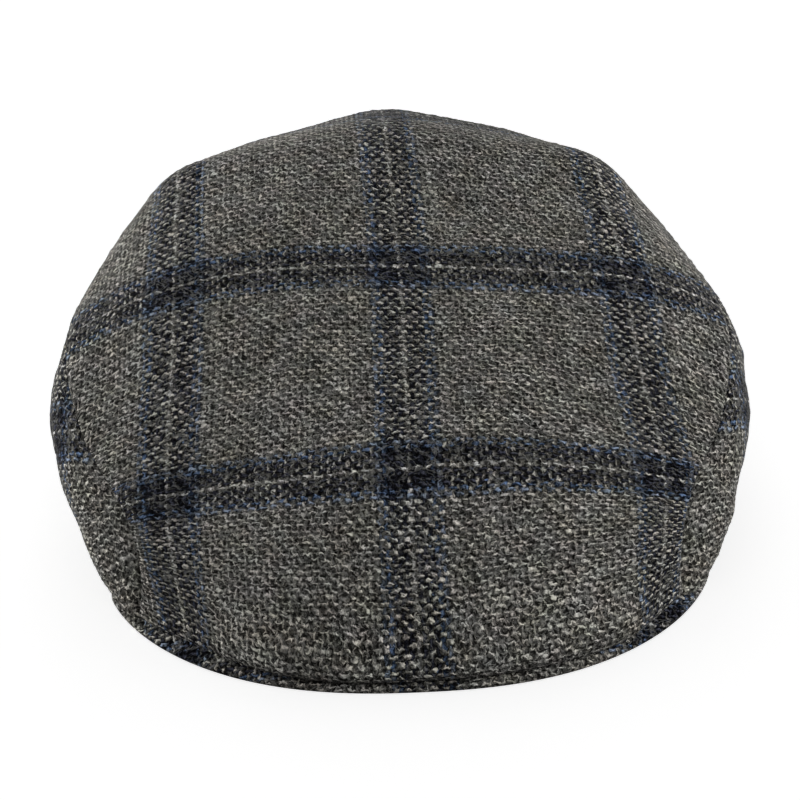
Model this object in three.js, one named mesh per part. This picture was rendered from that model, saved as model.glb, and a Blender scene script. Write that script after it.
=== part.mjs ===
import * as THREE from 'three';

// Flat cap of checked tweed, resting on a table on its rim and on the edge of its peak.
// Millimetres, +Z up. The peak points to -Y and the origin is on the table under the middle of the cap.

// Cloth
const CLOTH_WALL = 2;
const RIM_WALL = 3;
const SEAM_GAP = 0.3;
const CLOTH_COLOUR = 0x4d4d4b;
const CLOTH_ROUGHNESS = 0.95;

// Peak
const PEAK_HALF_WIDTH = 96;
const PEAK_FRONT_Y = -133;
const PEAK_CORNER_Y = -74;
const PEAK_SIDE_ROUNDNESS = 2.4;
const PEAK_FRONT_ROUNDNESS = 1.6;
const PEAK_THICKNESS = 4;
const PEAK_EDGE_RADIUS = 1.4;
const PEAK_LIFT = 11;
const BROW_HALF_WIDTH = 88;
const BROW_FRONT_Y = -86;
const BROW_CORNER_Y = -70;

// Hem of the crown where it is laid on the peak
const HEM_INSET = 1.6;
const HEM_WALL = 2.4;
const HEM_REACH = 0.33;

// Sections of the top panel, from the hem on the peak to the seam at the back.
// spine is the middle line, and seam is where the panel meets the side panel.
// flatness is the power of the fall from spine to seam, and roof the share that falls evenly, like a roof.
// The first row is the hem, which lies just clear of the peak's upper face.
const TOP_SECTIONS = [
  { spineY: -131, spineZ: 4.5, seamX: 85, seamY: -97, seamZ: 4.5, flatness: 2.4, roof: 0 },
  { spineY: -114, spineZ: 25, seamX: 84.5, seamY: -89, seamZ: 17.5, flatness: 2.4, roof: 0 },
  { spineY: -78, spineZ: 43, seamX: 90, seamY: -73, seamZ: 30, flatness: 2.5, roof: 0 },
  { spineY: -37, spineZ: 55, seamX: 103.5, seamY: -46, seamZ: 41, flatness: 2.8, roof: 0 },
  { spineY: 4, spineZ: 66, seamX: 111, seamY: -6, seamZ: 50, flatness: 3.9, roof: 0.03 },
  { spineY: 43, spineZ: 75.5, seamX: 104, seamY: 39, seamZ: 52, flatness: 4.6, roof: 0.16 },
  { spineY: 80, spineZ: 82.5, seamX: 93.5, seamY: 74, seamZ: 52, flatness: 7.5, roof: 0.3 },
  { spineY: 109, spineZ: 79, seamX: 80, seamY: 92, seamZ: 52, flatness: 6, roof: 0.5 },
  { spineY: 125, spineZ: 68.5, seamX: 63, seamY: 107, seamZ: 53, flatness: 3.4, roof: 0.36 },
  { spineY: 131, spineZ: 56, seamX: 42, seamY: 119, seamZ: 54, flatness: 2.2, roof: 0.1 },
];

// Sections of a side panel, a row below each row above and one more at the centre back.
// rim is the lower edge, and bulge is how far the panel swells out between seam and rim.
const SIDE_SECTIONS = [
  { rimX: 91, rimY: -88, rimZ: 4.5, bulge: 1 },
  { rimX: 94, rimY: -72, rimZ: 4.8, bulge: 6.5 },
  { rimX: 91, rimY: -51, rimZ: 0.8, bulge: 14 },
  { rimX: 91.5, rimY: -23, rimZ: 0, bulge: 15.5 },
  { rimX: 89.5, rimY: 7, rimZ: 0, bulge: 14 },
  { rimX: 81.5, rimY: 38, rimZ: 0, bulge: 12 },
  { rimX: 70, rimY: 64, rimZ: 0, bulge: 11 },
  { rimX: 57, rimY: 84, rimZ: 0, bulge: 9 },
  { rimX: 44, rimY: 97, rimZ: 0, bulge: 8.6 },
  { rimX: 30, rimY: 106, rimZ: 0, bulge: 9 },
  { rimX: 0, rimY: 111, rimZ: 0, bulge: 9.3 },
];

// Share of the half width over which the roof bends at its ridge.
const RIDGE_BEND = 0.08;

// Facets
const TOP_ACROSS = 28;
const TOP_ALONG = 36;
const SIDE_DOWN = 8;
const PEAK_RIBS = 40;
const PEAK_STEPS = 4;

const LAST_TOP = TOP_SECTIONS.length - 1;
const LAST_SIDE = SIDE_SECTIONS.length - 1;

// Value of a column at a row number that need not be whole, on a smooth curve through the rows.
function columnAt(table, column, rowNumber, valueAfterLast) {
  const last = table.length - 1;
  const row = THREE.MathUtils.clamp(Math.floor(rowNumber), 0, last - 1);
  const share = rowNumber - row;
  const start = table[row][column];
  const end = table[row + 1][column];
  const before = row > 0 ? table[row - 1][column] : 2 * start - end;
  const beyondLast = valueAfterLast ?? 2 * end - start;
  const after = row + 1 < last ? table[row + 2][column] : beyondLast;
  const startSlope = (end - before) / 2;
  const endSlope = (after - start) / 2;
  const square = share * share;
  const cube = square * share;
  return start * (2 * cube - 3 * square + 1) + startSlope * (cube - 2 * square + share)
    + end * (3 * square - 2 * cube) + endSlope * (cube - square);
}

// Edge of the peak in plan: y at a distance x from the middle, moved in by inset.
function peakEdgeY(x, inset) {
  const share = Math.min(Math.abs(x) / (PEAK_HALF_WIDTH - inset), 1);
  const depth = (1 - share ** PEAK_SIDE_ROUNDNESS) ** (1 / PEAK_FRONT_ROUNDNESS);
  return PEAK_CORNER_Y - (PEAK_CORNER_Y - PEAK_FRONT_Y - inset) * depth;
}

// Front of the head opening in plan, which is the inner edge of the peak.
function browY(x) {
  const share = Math.min(Math.abs(x) / BROW_HALF_WIDTH, 1);
  return BROW_CORNER_Y - (BROW_CORNER_Y - BROW_FRONT_Y) * Math.sqrt(1 - share * share);
}

// Point on the outside of the top panel. across is -1 to 1, and along is 0 at the hem and 1 at the back seam.
function topPoint(across, along) {
  const at = (column) => columnAt(TOP_SECTIONS, column, along * LAST_TOP);
  const share = Math.abs(across);
  const hem = TOP_SECTIONS[0];
  const hemFront = peakEdgeY(0, HEM_INSET);
  const hemCorner = peakEdgeY(hem.seamX, HEM_INSET);
  const hemBow = (peakEdgeY(hem.seamX * across, HEM_INSET) - hemFront) / (hemCorner - hemFront);
  const hemShare = Math.max(1 - along / HEM_REACH, 0) ** 2;
  const bow = THREE.MathUtils.lerp(share * share, hemBow, hemShare);
  const even = (Math.hypot(share, RIDGE_BEND) - RIDGE_BEND) / (Math.hypot(1, RIDGE_BEND) - RIDGE_BEND);
  const fall = THREE.MathUtils.lerp(share ** at('flatness'), even, at('roof'));
  return new THREE.Vector3(
    at('seamX') * across,
    THREE.MathUtils.lerp(at('spineY'), at('seamY'), bow),
    THREE.MathUtils.lerp(at('spineZ'), at('seamZ'), fall),
  );
}

// Point on the seam under a side panel's upper edge. row runs from 0 at the hem to the centre back.
// Past the last section of the top panel the seam follows its back edge, at a speed that grows evenly.
function seamPoint(side, row) {
  if (row <= LAST_TOP) {
    return topPoint(side, row / LAST_TOP);
  }
  const past = row - LAST_TOP;
  return topPoint(side * (1 - (past * (1 + past)) / 2), 1);
}

// Row at which the seam passes a place on the back edge. across is 1 at the corner and 0 at the centre back.
function backRow(across) {
  return LAST_TOP + (Math.sqrt(9 - 8 * across) - 1) / 2;
}

// Level direction out of the cap at a place on the seam.
function seamOutward(side, row) {
  const step = 0.02;
  const ahead = seamPoint(side, Math.min(row + step, LAST_SIDE));
  const behind = seamPoint(side, Math.max(row - step, 0));
  const run = ahead.sub(behind);
  return new THREE.Vector3(side * run.y, -side * run.x, 0).normalize();
}

// Point on the outside of a side panel. down is 0 at the seam and 1 at the rim.
function sidePoint(side, row, down) {
  const beyond = SIDE_SECTIONS[LAST_SIDE - 1];
  const rim = new THREE.Vector3(
    side * columnAt(SIDE_SECTIONS, 'rimX', row, -beyond.rimX),
    columnAt(SIDE_SECTIONS, 'rimY', row, beyond.rimY),
    Math.max(columnAt(SIDE_SECTIONS, 'rimZ', row, beyond.rimZ), 0),
  );
  const swell = columnAt(SIDE_SECTIONS, 'bulge', row, beyond.bulge) * 4 * down * (1 - down);
  const point = seamPoint(side, row).lerp(rim, down);
  return point.addScaledVector(seamOutward(side, row), swell);
}

// Rows of points over the top panel, denser to the sides, where it falls.
function topGrid() {
  const grid = [];
  for (let j = 0; j <= TOP_ALONG; j += 1) {
    const line = [];
    for (let i = 0; i <= TOP_ACROSS; i += 1) {
      const across = Math.sin((i / TOP_ACROSS - 0.5) * Math.PI);
      line.push(topPoint(across, j / TOP_ALONG));
    }
    grid.push(line);
  }
  return grid;
}

// Rows of points over a side panel, level with the points of the top panel along the seam.
function sideGrid(side) {
  const rows = [];
  for (let j = 0; j <= TOP_ALONG; j += 1) {
    rows.push((j / TOP_ALONG) * LAST_TOP);
  }
  for (let i = 1; i <= TOP_ACROSS / 2; i += 1) {
    rows.push(backRow(Math.cos((i / TOP_ACROSS) * Math.PI)));
  }
  const steps = Array.from({ length: SIDE_DOWN + 1 }, (_, k) => k / SIDE_DOWN);
  return rows.map((row) => steps.map((down) => sidePoint(side, row, down)));
}

// Triangles of a grid, wound so that they face along +across x +along when not flipped.
function gridTriangles(lines, width, first, flipped) {
  const triangles = [];
  for (let j = 0; j + 1 < lines; j += 1) {
    for (let i = 0; i + 1 < width; i += 1) {
      const a = first + j * width + i;
      const b = a + 1;
      const c = a + width + 1;
      const d = a + width;
      triangles.push(...(flipped ? [a, c, b, a, d, c] : [a, b, c, a, c, d]));
    }
  }
  return triangles;
}

function geometryOf(points, triangles) {
  const geometry = new THREE.BufferGeometry().setFromPoints(points);
  geometry.setIndex(triangles);
  return geometry;
}

// Outward directions at the points of a grid.
function gridNormals(grid, flipped) {
  const width = grid[0].length;
  const geometry = geometryOf(grid.flat(), gridTriangles(grid.length, width, 0, flipped));
  geometry.computeVertexNormals();
  const normals = geometry.getAttribute('normal');
  const normalAt = (j, i) => new THREE.Vector3().fromBufferAttribute(normals, j * width + i);
  return grid.map((line, j) => line.map((_, i) => normalAt(j, i)));
}

// Closed wall between an outer and an inner grid.
function wallGeometry(outer, inner, flipped) {
  const lines = outer.length;
  const width = outer[0].length;
  const count = lines * width;
  const triangles = gridTriangles(lines, width, 0, flipped);
  triangles.push(...gridTriangles(lines, width, count, !flipped));
  const border = [];
  for (let i = 0; i + 1 < width; i += 1) {
    border.push(i);
  }
  for (let j = 0; j + 1 < lines; j += 1) {
    border.push(j * width + width - 1);
  }
  for (let i = width - 1; i > 0; i -= 1) {
    border.push((lines - 1) * width + i);
  }
  for (let j = lines - 1; j > 0; j -= 1) {
    border.push(j * width);
  }
  border.forEach((a, k) => {
    const b = border[(k + 1) % border.length];
    const c = count + b;
    const d = count + a;
    triangles.push(...(flipped ? [a, b, c, a, c, d] : [a, c, b, a, d, c]));
  });
  return geometryOf([...outer.flat(), ...inner.flat()], triangles);
}

// Inner side of a wall: each outer point moved in along its own direction.
function innerGrid(outer, directions) {
  return outer.map((line, j) => line.map((point, i) => point.clone().sub(directions[j][i])));
}

// Moves the edge of a grid away from a seam by half of the gap.
function trimFromSeam(point, neighbour) {
  const inward = neighbour.clone().sub(point).setLength(SEAM_GAP / 2);
  point.add(inward);
}

// Level direction out of the cap, square to the hem at a distance x from the middle.
function hemOutward(x) {
  const step = 0.5;
  const rise = peakEdgeY(x + step, HEM_INSET) - peakEdgeY(x - step, HEM_INSET);
  return new THREE.Vector3(rise, -2 * step, 0).normalize();
}

function crown() {
  const top = topGrid();
  const sides = { left: sideGrid(-1), right: sideGrid(1) };
  const topThickness = gridNormals(top, false);
  const thickness = {
    left: gridNormals(sides.left, true),
    right: gridNormals(sides.right, false),
  };

  // The walls meet at the seams on a shared mitre.
  const mitre = (a, b) => {
    const shared = a.clone().add(b).normalize();
    a.copy(shared);
    b.copy(shared);
  };
  for (let j = 0; j <= TOP_ALONG; j += 1) {
    mitre(topThickness[j][0], thickness.left[j][0]);
    mitre(topThickness[j][TOP_ACROSS], thickness.right[j][0]);
  }
  for (let i = 1; i <= TOP_ACROSS / 2; i += 1) {
    mitre(topThickness[TOP_ALONG][i], thickness.left[TOP_ALONG + i][0]);
    mitre(topThickness[TOP_ALONG][TOP_ACROSS - i], thickness.right[TOP_ALONG + i][0]);
  }
  topThickness.flat().forEach((direction) => direction.multiplyScalar(CLOTH_WALL));
  topThickness[0].forEach((direction, i) => {
    direction.copy(hemOutward(top[0][i].x)).multiplyScalar(HEM_WALL);
  });
  Object.entries(sides).forEach(([name, grid]) => {
    thickness[name].forEach((line, k) => {
      line.forEach((direction, i) => {
        direction.multiplyScalar(CLOTH_WALL);
        if (i === SIDE_DOWN) {
          direction.setZ(0).setLength(RIM_WALL);
        }
        if (k === 0) {
          direction.copy(hemOutward(grid[0][i].x)).multiplyScalar(HEM_WALL);
        }
        if (k === grid.length - 1) {
          direction.setX(0);
        }
      });
    });
  });

  // Edges step back from the seams, so that the panels stay clear of each other.
  top.forEach((line) => {
    trimFromSeam(line[0], line[1]);
    trimFromSeam(line[TOP_ACROSS], line[TOP_ACROSS - 1]);
  });
  for (let i = 1; i < TOP_ACROSS; i += 1) {
    trimFromSeam(top[TOP_ALONG][i], top[TOP_ALONG - 1][i]);
  }
  Object.values(sides).forEach((grid) => {
    grid.forEach((line) => trimFromSeam(line[0], line[1]));
    const back = grid[grid.length - 1];
    const outwards = Math.sign(grid[0][0].x) * (SEAM_GAP / 2);
    back.forEach((point) => point.setX(outwards));
  });

  return {
    top_panel: wallGeometry(top, innerGrid(top, topThickness), false),
    left_side_panel: wallGeometry(sides.left, innerGrid(sides.left, thickness.left), true),
    right_side_panel: wallGeometry(sides.right, innerGrid(sides.right, thickness.right), false),
  };
}

// Closed section of the peak from its outer edge to the brow: distance in from the edge, and height.
function peakSection(width) {
  const section = [];
  const round = PEAK_EDGE_RADIUS;
  const addCorner = (centre, firstDegrees) => {
    for (let degrees = firstDegrees; degrees <= firstDegrees + 90; degrees += 45) {
      const angle = THREE.MathUtils.degToRad(degrees);
      section.push([round * (1 - Math.cos(angle)), centre + round * Math.sin(angle)]);
    }
  };
  addCorner(round, -90);
  addCorner(PEAK_THICKNESS - round, 0);
  for (let k = 1; k <= PEAK_STEPS; k += 1) {
    section.push([THREE.MathUtils.lerp(round, width, k / PEAK_STEPS), PEAK_THICKNESS]);
  }
  for (let k = PEAK_STEPS; k > 0; k -= 1) {
    section.push([THREE.MathUtils.lerp(round, width, k / PEAK_STEPS), 0]);
  }
  return section;
}

function peak() {
  const points = [];
  let perRib = 0;
  for (let rib = 0; rib <= PEAK_RIBS; rib += 1) {
    const across = Math.sin((rib / PEAK_RIBS - 0.5) * Math.PI);
    const outer = new THREE.Vector2(PEAK_HALF_WIDTH * across, peakEdgeY(PEAK_HALF_WIDTH * across, 0));
    const brow = new THREE.Vector2(BROW_HALF_WIDTH * across, browY(BROW_HALF_WIDTH * across));
    const width = outer.distanceTo(brow);
    const section = peakSection(width);
    perRib = section.length;
    section.forEach(([inward, height]) => {
      const share = inward / width;
      const place = outer.clone().lerp(brow, share);
      const lift = PEAK_LIFT * share * share * (1 - across * across);
      points.push(new THREE.Vector3(place.x, place.y, height + lift));
    });
  }
  const triangles = [];
  for (let rib = 0; rib < PEAK_RIBS; rib += 1) {
    for (let k = 0; k < perRib; k += 1) {
      const a = rib * perRib + k;
      const b = rib * perRib + ((k + 1) % perRib);
      triangles.push(a, a + perRib, b, b, a + perRib, b + perRib);
    }
  }
  const lastRib = PEAK_RIBS * perRib;
  for (let k = 1; k + 1 < perRib; k += 1) {
    triangles.push(0, k, k + 1);
    triangles.push(lastRib, lastRib + k + 1, lastRib + k);
  }
  return geometryOf(points, triangles);
}

function clothPiece(name, geometry) {
  const material = new THREE.MeshStandardMaterial({
    color: CLOTH_COLOUR,
    roughness: CLOTH_ROUGHNESS,
    metalness: 0,
  });
  geometry.computeVertexNormals();
  const mesh = new THREE.Mesh(geometry, material);
  mesh.name = name;
  return mesh;
}

const cap = new THREE.Group();
cap.name = 'flat_cap';
Object.entries(crown()).forEach(([name, geometry]) => cap.add(clothPiece(name, geometry)));
cap.add(clothPiece('peak', peak()));

export default cap;
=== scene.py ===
"""Flat cap of checked tweed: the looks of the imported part.

Shapes are worked out in millimetres in the part's frame and made into meshes in metres.
"""

import bpy
import numpy as np
from mathutils import Matrix, Vector


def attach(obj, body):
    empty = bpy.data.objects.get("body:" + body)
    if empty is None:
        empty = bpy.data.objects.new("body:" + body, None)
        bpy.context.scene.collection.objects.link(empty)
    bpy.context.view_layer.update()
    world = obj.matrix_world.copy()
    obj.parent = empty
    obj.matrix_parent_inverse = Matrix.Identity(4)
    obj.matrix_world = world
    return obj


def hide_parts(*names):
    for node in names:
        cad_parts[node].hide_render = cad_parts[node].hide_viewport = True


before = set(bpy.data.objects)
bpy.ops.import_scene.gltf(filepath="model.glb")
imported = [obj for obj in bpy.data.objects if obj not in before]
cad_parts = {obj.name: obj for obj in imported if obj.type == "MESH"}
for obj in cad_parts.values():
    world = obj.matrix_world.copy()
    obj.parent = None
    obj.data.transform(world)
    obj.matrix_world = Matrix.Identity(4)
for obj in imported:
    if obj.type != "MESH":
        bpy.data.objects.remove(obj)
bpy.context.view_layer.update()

MM = 0.001

# Shortest length that anything is divided by
SHORTEST = 1e-12

# Sides of the cap as seen from the front, and the sign of x on them
SIDES = {"left": -1, "right": 1}

# Cloth
CLOTH_WALL = 2.0
RIM_WALL = 3.0
RIM_TURN = 1.3
RIM_TURN_REACH = 1.6
NUB_HEIGHT = 0.12

# Seams: the dip of the cloth into them and the puckers beside them
SEAM_DIP = 0.7
SEAM_DIP_REACH = 1.7
SEAM_CLOSE_REACH = 4.0
PUCKER_DEPTH = 0.28
PUCKER_LENGTH = 6.5
PUCKER_REACH = 7.0
PUCKER_STRENGTH = 0.65

# Puckers lie this much further on along the right edge of the top panel, and less far on along the left
PUCKER_SIDE_SHIFT = 40.0

# Waves along a seam or a hem: size, and the millimetres to a radian
PUCKER_DRIFTS = ((1.6, 31), (1.1, 17))
PUCKER_SWELLS = ((0.35, 23),)
HEM_WAVES = ((1, 9.5), (0.7, 4.1), (1, 23))

# Soft waves of cloth that lies by itself, and the distance from a seam or a rim over which they fade
WAVE_COUNT = 9
WAVE_LENGTHS = (28, 75)
TOP_WAVE_DEPTH = 0.55
SIDE_WAVE_DEPTH = 0.6
WAVE_FADE = 14.0
RIM_WAVE_FADE = 10.0

# Seeds of what is uneven by chance; to the first three of a side panel the sign of its side is added
SIDE_WAVE_SEED = 5
SIDE_SEAM_SEED = 17
SIDE_NUB_SEED = 23
CENTRE_BACK_SEED = 27
TOP_WAVE_SEED = 3
TOP_SEAM_SEED = 11
TOP_BACK_SEED = 12
TOP_NUB_SEED = 21
HEM_SEED = 13

# Peak
PEAK_HALF_WIDTH = 96.0
PEAK_FRONT_Y = -133.0
PEAK_CORNER_Y = -74.0
PEAK_SIDE_ROUNDNESS = 2.4
PEAK_FRONT_ROUNDNESS = 1.6
PEAK_THICKNESS = 4.0
PEAK_EDGE_RADIUS = 1.4
PEAK_EDGE_TUCK = -0.4
PEAK_ROLL = 2.5
PEAK_ROLL_REACH = 6.5
PEAK_ROLL_FULLNESS = 0.8
PEAK_LIFT = 11.0
PEAK_END_REACH = 9.0
PEAK_END_TUCK = 6.0
PEAK_END_THINNING = 0.7
BROW_HALF_WIDTH = 88.0
BROW_FRONT_Y = -86.0
BROW_CORNER_Y = -70.0

# Hem of the crown where it is laid on the peak
HEM_INSET = 1.6
HEM_WALL = 2.4
HEM_REACH = 0.33
HEM_Z = 4.5
HEM_FLARE = 4.4
HEM_FLARE_MIDDLE = 3.5
HEM_FLARE_RISE = 6.0
FLARE_FULL_Y = -100.0
FLARE_END_Y = -78.0
FLARE_HALF_WIDTH = 90.0
HEM_TUCK = 1.0
HEM_TUCK_REACH = 1.3
HEM_DROP = 0.4
HEM_RIPPLE = 0.2

# Lower edge of a side panel round the end of the peak
CORNER_Y = -76.0
CORNER_REACH = 11.0
CORNER_HEIGHT = 10.0
CORNER_DROP = 2.8
CORNER_SWELL = 2.4

# How much of the flare the hem has, and below 0 how far it is drawn in instead: x, share
FLARE_SHARES = (
    (-91, 0.4),
    (-84, 0),
    (-72, -0.45),
    (-62, -0.3),
    (-52, 0.25),
    (-40, 0.75),
    (-20, 0.95),
    (10, 0.75),
    (60, 0.65),
    (68, 0.35),
    (78, -0.3),
    (84, -0.25),
    (91, 0.4),
)

# Share of the half width over which the roof bends at its ridge
RIDGE_BEND = 0.08

# Sections of the top panel, from the hem on the peak to the seam at the back
TOP_COLUMNS = ("spine_y", "spine_z", "seam_x", "seam_y", "seam_z", "flatness", "roof")
TOP_SECTIONS = np.array([
    (-131, 4.5, 85, -97, 4.5, 2.4, 0),
    (-114, 25, 84.5, -89, 17.5, 2.4, 0),
    (-78, 43, 90, -73, 30, 2.5, 0),
    (-37, 55, 103.5, -46, 41, 2.8, 0),
    (4, 66, 111, -6, 50, 3.9, 0.03),
    (43, 75.5, 104, 39, 52, 4.6, 0.16),
    (80, 82.5, 93.5, 74, 52, 7.5, 0.3),
    (109, 79, 80, 92, 52, 6, 0.5),
    (125, 68.5, 63, 107, 53, 3.4, 0.36),
    (131, 56, 42, 119, 54, 2.2, 0.1),
])
LAST_TOP = len(TOP_SECTIONS) - 1

# Sections of a side panel, a row below each row above and one more at the centre back
SIDE_COLUMNS = ("rim_x", "rim_y", "rim_z", "bulge")
SIDE_SECTIONS = np.array([
    (91, -88, 4.5, 1),
    (94, -72, 4.8, 6.5),
    (91, -51, 0.8, 14),
    (91.5, -23, 0, 15.5),
    (89.5, 7, 0, 14),
    (81.5, 38, 0, 12),
    (70, 64, 0, 11),
    (57, 84, 0, 9),
    (44, 97, 0, 8.6),
    (30, 106, 0, 9),
    (0, 111, 0, 9.3),
])
LAST_SIDE = len(SIDE_SECTIONS) - 1

# Dents and swells: panel, millimetres across the top or down a side, millimetres along, reach, height
SLUMPS = (
    ("top", -31, 263, 22, -0.9),
    ("top", 79, 233, 14, 1.6),
    ("top", -80, 236, 12, 1.0),
    ("top", -1, 266, 2.2, -0.8),
    ("left", 8, 116, 14, -1.5),
    ("left", 19.5, 72, 10, -0.9),
    ("right", 13, 97, 9, -0.9),
    ("right", 17, 80, 8, 0.6),
    ("right", 21, 37, 10, 1.2),
)

# Mesh steps, and how much closer together they are at the edges of the top panel and of the peak
TOP_ACROSS = 160
TOP_ALONG = 240
SIDE_DOWN = 48
PEAK_RIBS = 180
PEAK_EDGE_STEPS = 12
PEAK_STEPS = 22
TOP_CLOSENESS = 0.55
PEAK_CLOSENESS = 1.8

# Check of the cloth: yarns from one stripe to the next and the millimetres that they take
WARP_REPEAT = 40
WEFT_REPEAT = 44
WARP_REPEAT_MM = 75.86
WEFT_REPEAT_MM = 89.9
WARP_PITCH = WARP_REPEAT_MM / WARP_REPEAT
WEFT_PITCH = WEFT_REPEAT_MM / WEFT_REPEAT

# Places of stripes: on the top panel from the spine and from the hem, on a side panel down from the
# seam and back from its front tip
TOP_STRIPE_ACROSS = 0.5
TOP_STRIPE_ALONG = 67.5
SIDE_STRIPE_DOWN = {"left": 46.0, "right": 49.0}
SIDE_STRIPE_ALONG = {"left": 55.5, "right": 57.6}
SIDE_WARP_TURN = np.radians(25)
SIDE_WEFT_TURN = np.radians(37)

# Yarns of the top panel run out of line: the warp sways, and the weft tilts and is eased in at the back.
# A change is made between two places along the panel
WARP_SWAY = 0.85
WARP_SWAY_START = 95.0
WARP_SWAY_LENGTH = 220.0
WEFT_TILT_FRONT = 1.2
WEFT_TILT_BACK = -2.3
WEFT_TILT_CHANGE = (67, 157)
WEFT_TILT_LENGTH = 180.0
WEFT_EASE = 10.0
WEFT_EASE_CHANGE = (170, 250)

# The stripe on the right of the top panel runs outward over the peak
RIGHT_STRIPE_SHIFT = 5.5
RIGHT_SHIFT_ACROSS = (20, 75)
RIGHT_SHIFT_ALONG = (130, 70)

# Places of stripes on the peak, from the part's origin, and how far the weft leans across it
PEAK_STRIPE_X = 2.0
PEAK_STRIPE_Y = -24.4
PEAK_WEFT_LEAN = 0.062


def lerp(start, end, share):
    """Value at a share of the way from start to end."""
    return start + (end - start) * share


def smoothstep(low, high, value):
    """Soft step from 0 at low to 1 at high."""
    share = np.clip((value - low) / (high - low), 0, 1)
    return share * share * (3 - 2 * share)


def unit(vectors):
    """Vectors of length 1 that point the same way."""
    return vectors / np.maximum(np.linalg.norm(vectors, axis=-1, keepdims=True), SHORTEST)


def columns_at(table, rows, row_after_last=None):
    """Columns of a table at row numbers that need not be whole, on smooth curves through the rows."""
    before_first = 2 * table[0] - table[1]
    after_last = 2 * table[-1] - table[-2] if row_after_last is None else row_after_last
    padded = np.vstack([before_first, table, after_last])
    row = np.clip(np.floor(rows).astype(int), 0, len(table) - 2)
    share = (rows - row)[..., None]
    before, start, end, after = (padded[row + step] for step in range(4))
    start_slope = (end - before) / 2
    end_slope = (after - start) / 2
    square = share ** 2
    cube = share ** 3
    found = (
        start * (2 * cube - 3 * square + 1)
        + start_slope * (cube - 2 * square + share)
        + end * (3 * square - 2 * cube)
        + end_slope * (cube - square)
    )
    return np.moveaxis(found, -1, 0)


def peak_edge_y(x, inset):
    """Edge of the peak in plan, moved in by inset."""
    share = np.minimum(np.abs(x) / (PEAK_HALF_WIDTH - inset), 1)
    depth = (1 - share ** PEAK_SIDE_ROUNDNESS) ** (1 / PEAK_FRONT_ROUNDNESS)
    return PEAK_CORNER_Y - (PEAK_CORNER_Y - PEAK_FRONT_Y - inset) * depth


def brow_y(x):
    """Front of the head opening in plan, which is the inner edge of the peak."""
    share = np.minimum(np.abs(x) / BROW_HALF_WIDTH, 1)
    return BROW_CORNER_Y - (BROW_CORNER_Y - BROW_FRONT_Y) * np.sqrt(1 - share * share)


def top_points(across, along):
    """Outside of the top panel. across is -1 to 1, along is 0 at the hem and 1 at the back seam."""
    rows = columns_at(TOP_SECTIONS, along * LAST_TOP)
    spine_y, spine_z, seam_x, seam_y, seam_z, flatness, roof = rows
    share = np.abs(across)
    hem_x = TOP_SECTIONS[0][TOP_COLUMNS.index("seam_x")]
    hem_front = peak_edge_y(0, HEM_INSET)
    hem_corner = peak_edge_y(hem_x, HEM_INSET)
    hem_bow = (peak_edge_y(hem_x * across, HEM_INSET) - hem_front) / (hem_corner - hem_front)
    hem_share = np.maximum(1 - along / HEM_REACH, 0) ** 2
    bow = lerp(share ** 2, hem_bow, hem_share)
    even = (np.hypot(share, RIDGE_BEND) - RIDGE_BEND) / (np.hypot(1, RIDGE_BEND) - RIDGE_BEND)
    fall = lerp(share ** flatness, even, roof)
    return np.stack([seam_x * across, lerp(spine_y, seam_y, bow), lerp(spine_z, seam_z, fall)], -1)


def seam_points(side, rows):
    """Seam along a side panel's upper edge, which ends along the top panel's back edge."""
    past = np.clip(rows - LAST_TOP, 0, 1)
    return top_points(side * (1 - past * (1 + past) / 2), np.minimum(rows / LAST_TOP, 1))


def back_row(across):
    """Row at which the seam passes a place on the back edge: the way in seam_points, solved for the row."""
    return LAST_TOP + (np.sqrt(9 - 8 * across) - 1) / 2


def side_points(side, rows, down):
    """Outside of a side panel. down is 0 at the seam and 1 at the rim."""
    step = 0.02
    ahead = seam_points(side, np.minimum(rows + step, LAST_SIDE))
    run = ahead - seam_points(side, np.maximum(rows - step, 0))
    outward = unit(np.stack([side * run[..., 1], -side * run[..., 0], 0 * rows], -1))
    mirror = [-1 if column == "rim_x" else 1 for column in SIDE_COLUMNS]
    rim_x, rim_y, rim_z, bulge = columns_at(SIDE_SECTIONS, rows, SIDE_SECTIONS[-2] * mirror)
    rim = np.stack([side * rim_x, rim_y, np.maximum(rim_z, 0)], -1)
    swell = bulge * 4 * down * (1 - down)
    return lerp(seam_points(side, rows), rim, down[..., None]) + outward * swell[..., None]


def grid_normals(points, sign):
    """Outward directions of a grid whose lines run along the first axis."""
    return sign * unit(np.cross(np.gradient(points, axis=1), np.gradient(points, axis=0)))


def run_lengths(points, axis):
    """Length along the lines of a grid from their first point."""
    steps = np.linalg.norm(np.diff(points, axis=axis), axis=-1)
    start = np.zeros_like(np.take(steps, [0], axis=axis))
    return np.concatenate([start, np.cumsum(steps, axis=axis)], axis=axis)


def soft_waves(points, seed, depth):
    """Slight unevenness of cloth that lies by itself, in millimetres at each point."""
    random = np.random.default_rng(seed)
    total = np.zeros(points.shape[:-1])
    for _ in range(WAVE_COUNT):
        direction = unit(random.normal(size=3))
        length = random.uniform(*WAVE_LENGTHS)
        phase = random.uniform(0, 2 * np.pi)
        total += np.sin(points @ direction * 2 * np.pi / length + phase)
    return depth * total / np.sqrt(WAVE_COUNT)


def slumps(panel, across, along):
    """Dents and swells of a panel as the cap lies."""
    total = 0 * across * along
    for owner, place_across, place_along, reach, height in SLUMPS:
        if owner == panel:
            away = np.hypot(across - place_across, along - place_along)
            total = total + height * np.exp(-(away / reach) ** 2)
    return total


def nubs(shape, seed):
    """Fine unevenness of a thick weave, evened out a little between neighbours."""
    bumps = np.random.default_rng(seed).normal(0, NUB_HEIGHT, shape)
    bumps[1:-1, 1:-1] = (bumps[1:-1, 1:-1] + bumps[:-2, 1:-1] + bumps[2:, 1:-1]) / 2
    bumps[[0, -1]] = 0
    bumps[:, [0, -1]] = 0
    return bumps


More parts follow.
